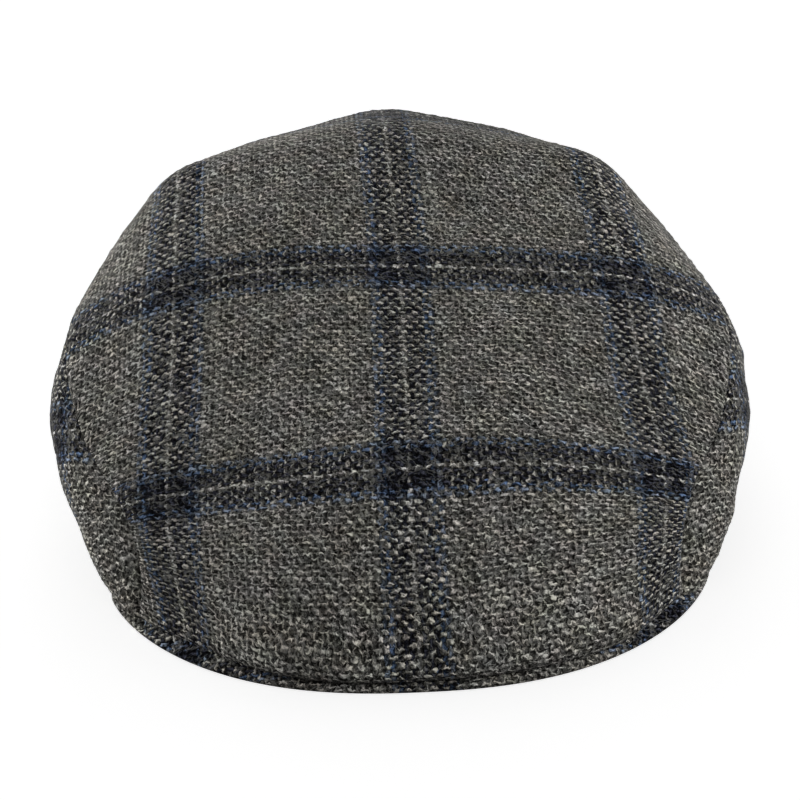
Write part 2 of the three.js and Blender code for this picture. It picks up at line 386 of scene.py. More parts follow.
def waves_along(along, waves, starts):
    """Sum of waves by the length along a seam or a hem."""
    return sum(size * np.sin(along / length + start) for (size, length), start in zip(waves, starts))


def puckers(distance, along, seed):
    """Small ripples beside a seam, and the dip of the cloth into it."""
    starts = np.random.default_rng(seed).uniform(0, 2 * np.pi, len(PUCKER_DRIFTS + PUCKER_SWELLS))
    drift = waves_along(along, PUCKER_DRIFTS, starts)
    strength = PUCKER_STRENGTH + waves_along(along, PUCKER_SWELLS, starts[len(PUCKER_DRIFTS):])
    ripple = np.sin(2 * np.pi * along / PUCKER_LENGTH + drift) * strength
    fade = np.exp(-distance / PUCKER_REACH)
    dip = np.exp(-(distance / SEAM_DIP_REACH) ** 2)
    return PUCKER_DEPTH * ripple * fade - SEAM_DIP * dip


def hem_ripples(distance, along):
    """Slow waves of the crown's hem where it is laid on the peak."""
    starts = np.random.default_rng(HEM_SEED).uniform(0, 2 * np.pi, len(HEM_WAVES))
    return HEM_RIPPLE * waves_along(along, HEM_WAVES, starts) * np.exp(-distance / PUCKER_REACH)


def hem_outward(x):
    """Level direction out of the cap, square to the hem."""
    step = 0.5
    rise = peak_edge_y(x + step, HEM_INSET) - peak_edge_y(x - step, HEM_INSET)
    return unit(np.stack([rise, 0 * x - 2 * step, 0 * x], -1))


def front_flare(points):
    """Moves of the lowest cloth over the peak, which stands out over its edge or is drawn in."""
    height = points[..., 2] - HEM_Z
    places, shares = np.array(FLARE_SHARES).T
    at_front = smoothstep(FLARE_END_Y, FLARE_FULL_Y, points[..., 1])
    share = np.interp(points[..., 0], places, shares) * at_front
    near = np.exp(-((height - HEM_FLARE_MIDDLE) / HEM_FLARE_RISE) ** 2) * share
    outward = hem_outward(np.clip(points[..., 0], -FLARE_HALF_WIDTH, FLARE_HALF_WIDTH))
    return near[..., None] * (HEM_FLARE * outward - np.array([0, 0, HEM_DROP]))


def corner_settle(points, side):
    """Moves of a side panel's lowest cloth, which comes down and out round the end of the peak."""
    from_corner = (points[..., 1] - CORNER_Y) / CORNER_REACH
    near = np.exp(-from_corner ** 2 - (points[..., 2] / CORNER_HEIGHT) ** 2)
    return near[..., None] * np.array([side * CORNER_SWELL, 0, -CORNER_DROP])


def top_cloth(points):
    """Millimetres across and along the top panel, and its cloth coordinates, with the lean of its yarns."""
    middle = points.shape[1] // 2
    across = run_lengths(points, 1)
    across = across - across[:, middle:middle + 1]
    along = np.repeat(run_lengths(points, 0)[:, middle:middle + 1], points.shape[1], axis=1)
    sway = WARP_SWAY * np.sin(2 * np.pi * (along - WARP_SWAY_START) / WARP_SWAY_LENGTH)
    tilt = lerp(WEFT_TILT_FRONT, WEFT_TILT_BACK, smoothstep(*WEFT_TILT_CHANGE, along))
    tilt = tilt * np.sin(2 * np.pi * across / WEFT_TILT_LENGTH)
    ease = WEFT_EASE * smoothstep(*WEFT_EASE_CHANGE, along)
    at_right = smoothstep(*RIGHT_SHIFT_ACROSS, across)
    shift = RIGHT_STRIPE_SHIFT * at_right * smoothstep(*RIGHT_SHIFT_ALONG, along)
    warp_way = across - TOP_STRIPE_ACROSS - sway - shift
    weft_way = along - TOP_STRIPE_ALONG - tilt - ease
    return across, along, np.stack([warp_way, weft_way], -1)


def side_cloth(points, name):
    """Millimetres down a side panel and along it from its front tip, and its cloth coordinates."""
    down = run_lengths(points, 1)
    along = run_lengths(points, 0)[:, :1]
    warp_way = down * np.cos(SIDE_WARP_TURN) + along * np.sin(SIDE_WARP_TURN) - SIDE_STRIPE_DOWN[name]
    weft_way = along * np.cos(SIDE_WEFT_TURN) - down * np.sin(SIDE_WEFT_TURN) - SIDE_STRIPE_ALONG[name]
    return down, along, np.stack([warp_way, weft_way], -1)


def top_relief(points, across_share):
    """Height of the top panel's cloth over its plain form."""
    across, along, _ = top_cloth(points)
    to_side = np.where(across_share < 0, across - across[:, :1], across[:, -1:] - across)
    to_back = along[-1:] - along
    relief = soft_waves(points, TOP_WAVE_SEED, TOP_WAVE_DEPTH)
    for distance in (to_side, to_back, along):
        relief = relief * smoothstep(0, WAVE_FADE, distance)
    relief += puckers(to_side, along + PUCKER_SIDE_SHIFT * across_share, TOP_SEAM_SEED)
    relief += puckers(to_back, across, TOP_BACK_SEED)
    relief += hem_ripples(along, across)
    return relief + slumps("top", across, along) + nubs(relief.shape, TOP_NUB_SEED)


def side_relief(points, name, seam_relief):
    """Height of a side panel's cloth over its plain form, which meets the top panel's at the seam."""
    sign = SIDES[name]
    down, along, _ = side_cloth(points, name)
    to_rim = down[:, -1:] - down
    relief = soft_waves(points, SIDE_WAVE_SEED + sign, SIDE_WAVE_DEPTH)
    relief = relief * smoothstep(0, WAVE_FADE, down) * smoothstep(0, RIM_WAVE_FADE, to_rim)
    relief += puckers(down, along + 0 * down, SIDE_SEAM_SEED + sign)
    relief += puckers(along[-1:] - along + 0 * down, down, CENTRE_BACK_SEED)
    relief -= RIM_TURN * np.exp(-(to_rim / RIM_TURN_REACH) ** 2)
    relief += slumps(name, down, along) + nubs(relief.shape, SIDE_NUB_SEED + sign)
    return relief + (seam_relief - relief[:, 0])[:, None] * np.exp(-(down / SEAM_CLOSE_REACH) ** 2)


def quads(lines, width, first, flipped):
    """Faces of a grid."""
    index = first + np.arange(lines * width).reshape(lines, width)
    corners = [index[:-1, :-1], index[:-1, 1:], index[1:, 1:], index[1:, :-1]]
    faces = np.stack(corners, -1).reshape(-1, 4)
    return faces[:, ::-1] if flipped else faces


def border_of(lines, width):
    """Points round a grid, in order."""
    index = np.arange(lines * width).reshape(lines, width)
    return np.concatenate([index[0, :-1], index[:-1, -1], index[-1, :0:-1], index[:0:-1, 0]])


def swept_faces(ribs, width):
    """Faces of a closed section that is swept over ribs, and the two at its ends."""
    index = np.arange(ribs * width).reshape(ribs, width)
    following = np.roll(index, -1, axis=1)
    around = np.stack([index[:-1], index[1:], following[1:], following[:-1]], -1).reshape(-1, 4)
    return [*around, index[0], index[-1, ::-1]]


def mesh_piece(name, points, faces, cloth):
    """Object from points in millimetres and faces, with its cloth coordinates."""
    mesh = bpy.data.meshes.new(name)
    mesh.from_pydata((points * MM).tolist(), [], [face.tolist() for face in faces])
    held = mesh.attributes.new("cloth", "FLOAT_VECTOR", "POINT")
    flat = np.concatenate([cloth, np.zeros((len(cloth), 1))], 1)
    held.data.foreach_set("vector", flat.astype(np.float32).ravel())
    mesh.polygons.foreach_set("use_smooth", [True] * len(mesh.polygons))
    mesh.validate()
    mesh.update()
    piece = bpy.data.objects.new(name, mesh)
    bpy.context.scene.collection.objects.link(piece)
    return piece


def wall_piece(name, outer, inner, cloth, flipped):
    """Closed wall between an outer and an inner grid."""
    lines, width = outer.shape[:2]
    count = lines * width
    ring = border_of(lines, width)
    following = np.roll(ring, -1)
    wall = np.stack([ring, count + ring, count + following, following], -1)
    faces = np.concatenate([
        quads(lines, width, 0, flipped),
        quads(lines, width, count, not flipped),
        wall[:, ::-1] if flipped else wall,
    ])
    points = np.concatenate([outer.reshape(-1, 3), inner.reshape(-1, 3)])
    both = np.concatenate([cloth.reshape(-1, 2)] * 2)
    return mesh_piece(name, points, faces, both)


def even_steps(count):
    """Shares from -1 to 1, closer together at the ends."""
    share = np.linspace(-1, 1, count + 1)
    return lerp(share, np.sin(share * np.pi / 2), TOP_CLOSENESS)


def crown_grids():
    """Shares across the top panel, and the outside of the top panel and of each side panel."""
    across_steps = even_steps(TOP_ACROSS)
    along_steps = (1 + even_steps(TOP_ALONG)) / 2
    across, along = np.meshgrid(across_steps, along_steps)
    back_steps = across_steps[TOP_ACROSS - 1:TOP_ACROSS // 2:-1]
    rows = np.concatenate([along_steps * LAST_TOP, back_row(back_steps), [LAST_SIDE]])
    row_grid, down_grid = np.meshgrid(rows, np.linspace(0, 1, SIDE_DOWN + 1), indexing="ij")
    sides = {name: side_points(sign, row_grid, down_grid) for name, sign in SIDES.items()}
    return across, top_points(across, along), sides


def seam_edge(side):
    """Lines of the top panel's grid, and places on them, where a side panel's upper edge is sewn to it."""
    steps = np.arange(TOP_ALONG + TOP_ACROSS // 2 + 1)
    lines = np.minimum(steps, TOP_ALONG)
    from_corner = steps - lines
    places = from_corner if side < 0 else TOP_ACROSS - from_corner
    return lines, places


def outward_directions(top, sides, edges):
    """Outward directions over the panels, which share one direction at each point of a seam."""
    top_out = grid_normals(top, 1)
    side_out = {name: grid_normals(sides[name], sign) for name, sign in SIDES.items()}
    mitres = {name: unit(top_out[edge] + side_out[name][:, 0]) for name, edge in edges.items()}
    for name, edge in edges.items():
        top_out[edge] = mitres[name]
        side_out[name][:, 0] = mitres[name]
    return top_out, side_out


def top_piece(points, out, relief):
    """The top panel, with its hem tucked in where it is laid on the peak."""
    _, along, cloth = top_cloth(points)
    hem_out = hem_outward(points[0, :, 0])
    tuck = HEM_TUCK * np.exp(-(along / HEM_TUCK_REACH) ** 2)
    outer = points + out * relief[..., None] + front_flare(points) - hem_out * tuck[..., None]
    depth = out * CLOTH_WALL
    depth[0] = hem_out * HEM_WALL
    return wall_piece("top_panel", outer, outer - depth, cloth, False)


def side_piece(name, points, out, relief):
    """A side panel, which stands on its rim and meets the other one at the centre back."""
    _, _, cloth = side_cloth(points, name)
    outer = points + out * relief[..., None] + front_flare(points) + corner_settle(points, SIDES[name])
    outer[..., 2] = np.maximum(outer[..., 2], 0)
    outer[-1, :, 0] = 0
    depth = out * CLOTH_WALL
    depth[:, -1, 2] = 0
    depth[:, -1] = unit(depth[:, -1]) * RIM_WALL
    depth[0] = hem_outward(points[0, :, 0]) * HEM_WALL
    depth[-1, :, 0] = 0
    inner = outer - depth
    inner[..., 2] = np.maximum(inner[..., 2], 0)
    return wall_piece(name + "_side_panel", outer, inner, cloth, name == "left")


def crown_pieces():
    """The top panel and the two side panels, which meet in sunken seams."""
    across, top, sides = crown_grids()
    edges = {name: seam_edge(sign) for name, sign in SIDES.items()}
    top_out, side_out = outward_directions(top, sides, edges)
    relief = top_relief(top, across)
    pieces = {"top_panel": top_piece(top, top_out, relief)}
    reliefs = {name: side_relief(sides[name], name, relief[edges[name]]) for name in SIDES}
    back_relief = (reliefs["left"][-1] + reliefs["right"][-1]) / 2
    for name, points in sides.items():
        _, along, _ = side_cloth(points, name)
        at_back = np.exp(-((along[-1:] - along) / SEAM_CLOSE_REACH) ** 2)
        joined = reliefs[name] + (back_relief - reliefs[name][-1]) * at_back
        pieces[name + "_side_panel"] = side_piece(name, points, side_out[name], joined)
    return pieces


def peak_piece():
    """The stiff peak under the front of the crown: a closed section swept from side to side."""
    ribs = np.sin(np.linspace(-0.5, 0.5, PEAK_RIBS + 1) * np.pi)
    edge_x = PEAK_HALF_WIDTH * ribs
    outer = np.stack([edge_x, peak_edge_y(edge_x, 0)], -1)
    brow = np.stack([BROW_HALF_WIDTH * ribs, brow_y(BROW_HALF_WIDTH * ribs)], -1)

    # Its two ends are rounded off and thinner.
    into_end = np.clip(1 - (PEAK_CORNER_Y - outer[:, 1]) / PEAK_END_REACH, 0, 1)
    end = 1 - np.sqrt(1 - into_end ** 2)
    outer[:, 0] -= np.sign(edge_x) * PEAK_END_TUCK * end
    width = np.linalg.norm(brow - outer, axis=-1)

    # Round the rolled edge from its lower to its upper side, then in over the top and back under it.
    angle = np.linspace(-0.5, 0.5, PEAK_EDGE_STEPS + 1) * np.pi
    inward_edge = PEAK_EDGE_RADIUS * (1 - np.cos(angle)) + PEAK_EDGE_TUCK
    round_edge = np.sign(angle) * np.abs(np.sin(angle)) ** PEAK_ROLL_FULLNESS
    height_edge = PEAK_ROLL / 2 * (1 + round_edge)
    shares = np.linspace(0, 1, PEAK_STEPS + 1)[1:]
    reach = inward_edge[-1] + (width[:, None] - inward_edge[-1]) * shares ** PEAK_CLOSENESS
    inward = np.concatenate([np.tile(inward_edge, (len(ribs), 1)), reach, reach[:, ::-1]], 1)
    upper = lerp(PEAK_ROLL, PEAK_THICKNESS, smoothstep(PEAK_EDGE_RADIUS, PEAK_ROLL_REACH, reach))
    height = np.concatenate([np.tile(height_edge, (len(ribs), 1)), upper, 0 * reach], 1)
    height = height * (1 - PEAK_END_THINNING * end)[:, None]
    share = inward / width[:, None]
    place = lerp(outer[:, None], brow[:, None], share[..., None])
    lift = PEAK_LIFT * share ** 2 * (1 - ribs ** 2)[:, None]
    points = np.concatenate([place, (height + lift)[..., None]], -1)

    # The cloth runs over the edge, so its coordinates follow the length of the section.
    lengths = run_lengths(points, 1)
    from_edge = lengths - lengths[:, PEAK_EDGE_STEPS:PEAK_EDGE_STEPS + 1]
    under = np.arange(inward.shape[1]) > PEAK_EDGE_STEPS + PEAK_STEPS
    from_edge = np.where(under[None], inward, from_edge)
    laid = outer[:, None] - unit(outer - brow)[:, None] * from_edge[..., None]
    warp_way = laid[..., 0] - PEAK_STRIPE_X
    weft_way = laid[..., 1] - PEAK_STRIPE_Y - PEAK_WEFT_LEAN * laid[..., 0]
    cloth = np.stack([warp_way, weft_way], -1)
    faces = swept_faces(*points.shape[:2])
    return mesh_piece("peak", points.reshape(-1, 3), faces, cloth.reshape(-1, 2))


# Values that a noise seldom passes
NOISE_LOW = 0.3
NOISE_HIGH = 0.7


class Graph:
    """Short ways to add linked nodes to a tree."""

    def __init__(self, tree):
        self.tree = tree

    def node(self, kind, **settings):
        made = self.tree.nodes.new(kind)
        for name, value in settings.items():
            setattr(made, name, value)
        return made

    def feed(self, socket, value):
        """Link or value into a socket."""
        if isinstance(value, bpy.types.NodeSocket):
            self.tree.links.new(value, socket)
        else:
            socket.default_value = value

    def math(self, operation, *values):
        made = self.node("ShaderNodeMath", operation=operation)
        for socket, value in zip(made.inputs, values):
            self.feed(socket, value)
        return made.outputs[0]

    def vector(self, x, y, z):
        made = self.node("ShaderNodeCombineXYZ")
        for socket, value in zip(made.inputs, (x, y, z)):
            self.feed(socket, value)
        return made.outputs[0]

    def parts(self, vector):
        """The three numbers of a vector or a colour."""
        made = self.node("ShaderNodeSeparateXYZ")
        self.feed(made.inputs[0], vector)
        return made.outputs

    def noise(self, vector, scale, detail):
        made = self.node("ShaderNodeTexNoise", noise_dimensions="3D")
        self.feed(made.inputs["Vector"], vector)
        made.inputs["Scale"].default_value = scale
        made.inputs["Detail"].default_value = detail
        return made

    def chance(self, vector):
        """Three numbers from 0 to 1 that are by chance for each vector."""
        made = self.node("ShaderNodeTexWhiteNoise", noise_dimensions="3D")
        self.feed(made.inputs["Vector"], vector)
        return self.parts(made.outputs["Color"])

    def spread(self, value, low, high, to_low, to_high, smooth=False):
        """Value from low to high, spread from to_low to to_high and held at these ends."""
        kind = "SMOOTHSTEP" if smooth else "LINEAR"
        made = self.node("ShaderNodeMapRange", interpolation_type=kind)
        names = ("Value", "From Min", "From Max", "To Min", "To Max")
        for name, fed in zip(names, (value, low, high, to_low, to_high)):
            self.feed(made.inputs[name], fed)
        return made.outputs[0]

    def about_one(self, noise, strength):
        """Noise as a factor that is as often over 1 as under it."""
        return self.spread(noise, NOISE_LOW, NOISE_HIGH, 1 - strength, 1 + strength)

    def mix(self, kind, share, first, second, blend="MIX"):
        made = self.node("ShaderNodeMix", data_type=kind, blend_type=blend)
        ends = {"FLOAT": (2, 3), "VECTOR": (4, 5), "RGBA": (6, 7)}[kind]
        out = {"FLOAT": 0, "VECTOR": 1, "RGBA": 2}[kind]
        self.feed(made.inputs[0], share)
        self.feed(made.inputs[ends[0]], first)
        self.feed(made.inputs[ends[1]], second)
        return made.outputs[out]

    def steps(self, value, stops):
        """Colour by steps: stops are pairs of the value from which a colour holds and the colour."""
        made = self.node("ShaderNodeValToRGB")
        ramp = made.color_ramp
        ramp.interpolation = "CONSTANT"
        while len(ramp.elements) < len(stops):
            ramp.elements.new(1)
        for element, (place, colour) in zip(ramp.elements, stops):
            element.position = place
            element.color = (*colour, 1)
        self.feed(made.inputs[0], value)
        return made.outputs[0]


# Yarn colours: of the light fibres in each kind of yarn
GROUND = (0.305, 0.294, 0.265)
LIGHT = (0.375, 0.369, 0.350)
DARK = (0.031, 0.033, 0.045)
BLUE = (0.068, 0.102, 0.172)
FAINT_BLUE = (0.152, 0.184, 0.238)
LOOSE_FIBRE = (0.165, 0.164, 0.155)

# A stripe from its middle outward: the yarns from which a colour holds, and the colour
STRIPE = (
    (0, LIGHT),
    (0.5, DARK),
    (3.2, BLUE),
    (4.5, FAINT_BLUE),
    (5.6, GROUND),
)

# Yarns wander slowly and their fibres fray: scales of the noises, and how many yarns they move the cloth
# and the stripes
WANDER_SCALE = 0.16
WANDER = 0.6
FRAY_SCALE = 0.62
FRAY = 1.6
STRIPE_FRAY = 1.7

# Yarns in section: half their width and the softness of their edges as shares of the distance between
# yarns, then the height of their middle line, of its rise and fall, and of their round top over it
YARN_HALF = 0.38
YARN_EDGE = 0.12
YARN_LEVEL = 0.6
YARN_CREST = 0.55
YARN_ROUND = 0.75

# Slow changes of hue over the cloth: scale of the noise, and the strengths in red and in blue
HUE_SCALE = 0.12
RED_CHANGE = 0.05
BLUE_CHANGE = 0.06

# Strands in each crossing: how many there are along and across it, and how far apart in the noise the
# strands of different crossings are taken
STRANDS_ALONG = 2.1
STRANDS_ACROSS = 3.0
STRAND_JUMP_ALONG = 57
STRAND_JUMP_ACROSS = 91

# Ranges that values are spread over: the low and the high end, and what each of them becomes
STRAND_LEAN = (0, 1, -0.75, 0.25)
STRAND_CURL = (0, 1, -0.5, 1.6)
PLY_ASIDE = (0, 1, -0.06, 0.2)
PLY_BY_DISTANCE = (0.04, 0.175, 0.6, 0)
PLY_BY_STEP = (0.05, 0.34, 1, 0)
STRAND_TONE = (0.35, 0.68, 0.07, 0.4)
PLY_TONE = (0.3, 0.65, 0.42, 1.6)
BRIGHT_CROSSING_TONE = (0, 1, 0.78, 1.38)
DULL_CROSSING_TONE = (0, 0.3, 0.35, 1)
STREAK_TONE = (0.25, 0.75, 0.72, 1.28)
# Painted shade: the lower the weave lies between and under the yarns, the darker it is drawn
PAINTED_GAP_SHADE = (0.45, 1.65, 0.31, 1)
STEP_TONE = (0, 1, 1.13, 0.7)
LOOSE_LINE = (0.01, 0.05, 1, 0)
LOOSE_GATE = (0.46, 0.6, 0, 0.5)
SHEEN_BY_FACING = (0.5, 1, 0, 0.25)

# Strands run on from crossing to crossing in steps: how square the steps are, how far they lie beside
# the middle of the warp, and how far over the middle of the weft
STEP_SQUARENESS = 0.8
STEP_SHIFT = 0.3
STEP_RISE = 0.1

# Unevenness of the cloth's tone, from broad to fine: scale of the noise, its detail, strength
MOTTLES = (
    (0.05, 2, 0.16),
    (0.27, 1, 0.34),
    (1.2, 1, 0.5),
)

# Streaks along single yarns: scale along them, how far apart in the noise two yarns are taken, and the
# layers of the noise for the warp and the weft
STREAK_SCALE = 0.07
STREAK_JUMP = 7.3
WARP_STREAK_LAYER = 50
WEFT_STREAK_LAYER = 0

# Painted shade: the warp's crossings are drawn darker than the weft's, which is the brighter of the two
WARP_PAINTED_SHADE = 0.88
WEFT_TONE = 1.06

# Dark fibres of the yarn below dull a light one: the warp's dull and bright strands, and the weft
DULL_WARP_OVER_DARK = 0.5
BRIGHT_WARP_OVER_DARK = 1.05
WEFT_OVER_DARK = 0.97
DULL_STRAND = 0.35
BRIGHT_STRAND = 1.0
DARK_BELOW = 0.03
LIGHT_BELOW = 0.28

# The brightest tones are softly held below a limit
TONE_LIMIT = 1.45
TONE_LIMIT_SOFTNESS = 0.9

# Loose fibres: slant in radians and layer of the noise, then how drawn out they are and their noises
LOOSE_FIBRES = ((0.5, 0), (-0.9, 130))
LOOSE_STRETCH = 0.5
LOOSE_SCALE = 0.55
LOOSE_DETAIL = 1.5
LOOSE_GATE_SCALE = 0.33

# Relief of the weave, in millimetres, and the shares of strands and loose fibres in it
WEAVE_RELIEF = 0.7
STRAND_RELIEF = 0.7
LOOSE_RELIEF = 0.35

# Surfaces: values of the shader's own sockets
TWEED_SURFACE = {
    "Roughness": 0.95,
    "Specular IOR Level": 0.02,
    "Sheen Roughness": 0.4,
    "Sheen Tint": (1, 0.98, 0.93, 1),
}
FLOOR_SURFACE = {
    "Base Color": (0.8, 0.8, 0.8, 1),
    "Roughness": 1.0,
    "Specular IOR Level": 0.0,
    "Emission Color": (1, 1, 1, 1),
    "Emission Strength": 0.812,
}


def set_surface(shader, surface):
    """Values into a shader's sockets."""
    for name, value in surface.items():
        shader.inputs[name].default_value = value


def yarn_places(g, cloth, flat, fray):
    """Place on the cloth in yarns, of the warp and of the weft, which wander slowly and fray."""
    slow = g.parts(g.noise(cloth, WANDER_SCALE, 1).outputs["Color"])
    places = []
    for axis, pitch in enumerate((WARP_PITCH, WEFT_PITCH)):
        straight = g.math("MULTIPLY_ADD", flat[axis], 1 / pitch, 0.5)
        swayed = g.math("MULTIPLY_ADD", g.math("SUBTRACT", slow[axis], 0.5), WANDER, straight)
        places.append(g.math("MULTIPLY_ADD", g.math("SUBTRACT", fray[axis], 0.5), FRAY, swayed))
    return places


def yarn_on_top(g, index, within):
    """Whether the weft lies on top, and the height there: round yarns go over and under by turns."""
    turn = g.math("FLOORED_MODULO", g.math("ADD", *index), 2)
    over = g.math("MULTIPLY_ADD", turn, -2, 1)
    arch = [g.math("COSINE", g.math("MULTIPLY", part, np.pi)) for part in within]
    heights = []
    for axis, crest in enumerate((YARN_CREST, -YARN_CREST)):
        off_middle = g.math("ABSOLUTE", within[axis])
        out = g.math("POWER", g.math("DIVIDE", off_middle, YARN_HALF), 2)
        bulk = g.math("SQRT", g.math("MAXIMUM", g.math("SUBTRACT", 1, out), 0))
        middle = g.math("MULTIPLY_ADD", g.math("MULTIPLY", arch[1 - axis], over), crest, YARN_LEVEL)
        whole = g.math("MULTIPLY_ADD", bulk, YARN_ROUND, middle)
        inside = g.spread(off_middle, YARN_HALF - YARN_EDGE, YARN_HALF + YARN_EDGE, 1, 0, smooth=True)
        heights.append(g.math("MULTIPLY", whole, inside))
    return g.math("GREATER_THAN", heights[1], heights[0]), g.math("MAXIMUM", *heights)


def yarn_colours(g, index, fray):
    """Colours of the warp and of the weft, in stripes that are counted in yarns from their middles."""
    colours = []
    for whole, repeat in zip(index, (WARP_REPEAT, WEFT_REPEAT)):
        half = repeat / 2
        blurred = g.math("MULTIPLY_ADD", g.math("SUBTRACT", fray, 0.5), STRIPE_FRAY, whole)
        share = g.math("DIVIDE", g.math("PINGPONG", blurred, half), half)
        colours.append(g.steps(share, [(yarns / half, colour) for yarns, colour in STRIPE]))
    return colours


def crossing_strands(g, within, chances, is_weft):
    """Curved strands of each crossing, which lean with the yarn's twist, and the ply that stands out."""
    lean = g.spread(chances[1], *STRAND_LEAN)
    turned = g.mix("FLOAT", is_weft, g.math("SUBTRACT", np.pi / 2, lean), lean)
    cosine = g.math("COSINE", turned)
    sine = g.math("SINE", turned)
    along = g.math("MULTIPLY_ADD", within[0], cosine, g.math("MULTIPLY", within[1], sine))
    across = g.math("SUBTRACT", g.math("MULTIPLY", within[1], cosine), g.math("MULTIPLY", within[0], sine))
    curl = g.spread(chances[2], *STRAND_CURL)
    bent = g.math("MULTIPLY_ADD", g.math("MULTIPLY", along, along), curl, across)
    place = g.vector(
        g.math("MULTIPLY_ADD", chances[0], STRAND_JUMP_ALONG, g.math("MULTIPLY", along, STRANDS_ALONG)),
        g.math("MULTIPLY_ADD", chances[2], STRAND_JUMP_ACROSS, g.math("MULTIPLY", bent, STRANDS_ACROSS)),
        0,
    )
    strands = g.noise(place, 1, 1).outputs[0]
    aside = g.math("ABSOLUTE", g.math("SUBTRACT", bent, g.spread(chances[0], *PLY_ASIDE)))
    return strands, g.spread(aside, *PLY_BY_DISTANCE, smooth=True)


def distance_from_steps(g, place):
    """Distance in yarns from the strands that run on between crossings, in steps that fall to the right."""
    shifted = g.math("SUBTRACT", place[0], STEP_SHIFT)
    step = g.math("PINGPONG", g.math("ADD", g.math("SUBTRACT", shifted, place[1]), STEP_RISE - 0.5), 1)
    off_step = g.math("MULTIPLY_ADD", step, -STEP_SQUARENESS, g.math("ADD", shifted, place[1]))
    middle = 1.5 + STEP_RISE + (1 - STEP_SQUARENESS) / 2
    return g.math("PINGPONG", g.math("SUBTRACT", off_step, middle), 1)


def yarn_streaks(g, flat, index, is_weft):
    """Noise that changes slowly along each yarn."""
    warp_place = g.vector(
        g.math("MULTIPLY", index[0], STREAK_JUMP),
        g.math("MULTIPLY", flat[1], STREAK_SCALE),
        WARP_STREAK_LAYER,
    )
    weft_place = g.vector(
        g.math("MULTIPLY", flat[0], STREAK_SCALE),
        g.math("MULTIPLY", index[1], STREAK_JUMP),
        WEFT_STREAK_LAYER,
    )
    return g.noise(g.mix("VECTOR", is_weft, warp_place, weft_place), 1, 0).outputs[0]


def loose_fibres(g, flat):
    """Loose fibres that curl over the yarns: thin lines where a noise passes its middle."""
    shown = []
    for slant, layer in LOOSE_FIBRES:
        cosine = np.cos(slant)
        sine = np.sin(slant)
        level = g.math("MULTIPLY_ADD", flat[0], cosine, g.math("MULTIPLY", flat[1], sine))
        upright = g.math("MULTIPLY_ADD", flat[1], cosine, g.math("MULTIPLY", flat[0], -sine))
        spot = g.vector(g.math("MULTIPLY", level, LOOSE_STRETCH), upright, layer)
        wave = g.noise(spot, LOOSE_SCALE, LOOSE_DETAIL).outputs[0]
        line = g.spread(g.math("ABSOLUTE", g.math("SUBTRACT", wave, 0.5)), *LOOSE_LINE)
        gate = g.spread(g.noise(spot, LOOSE_GATE_SCALE, 0).outputs[0], *LOOSE_GATE)
        shown.append(g.math("MULTIPLY", line, gate))
    return g.math("MAXIMUM", *shown)


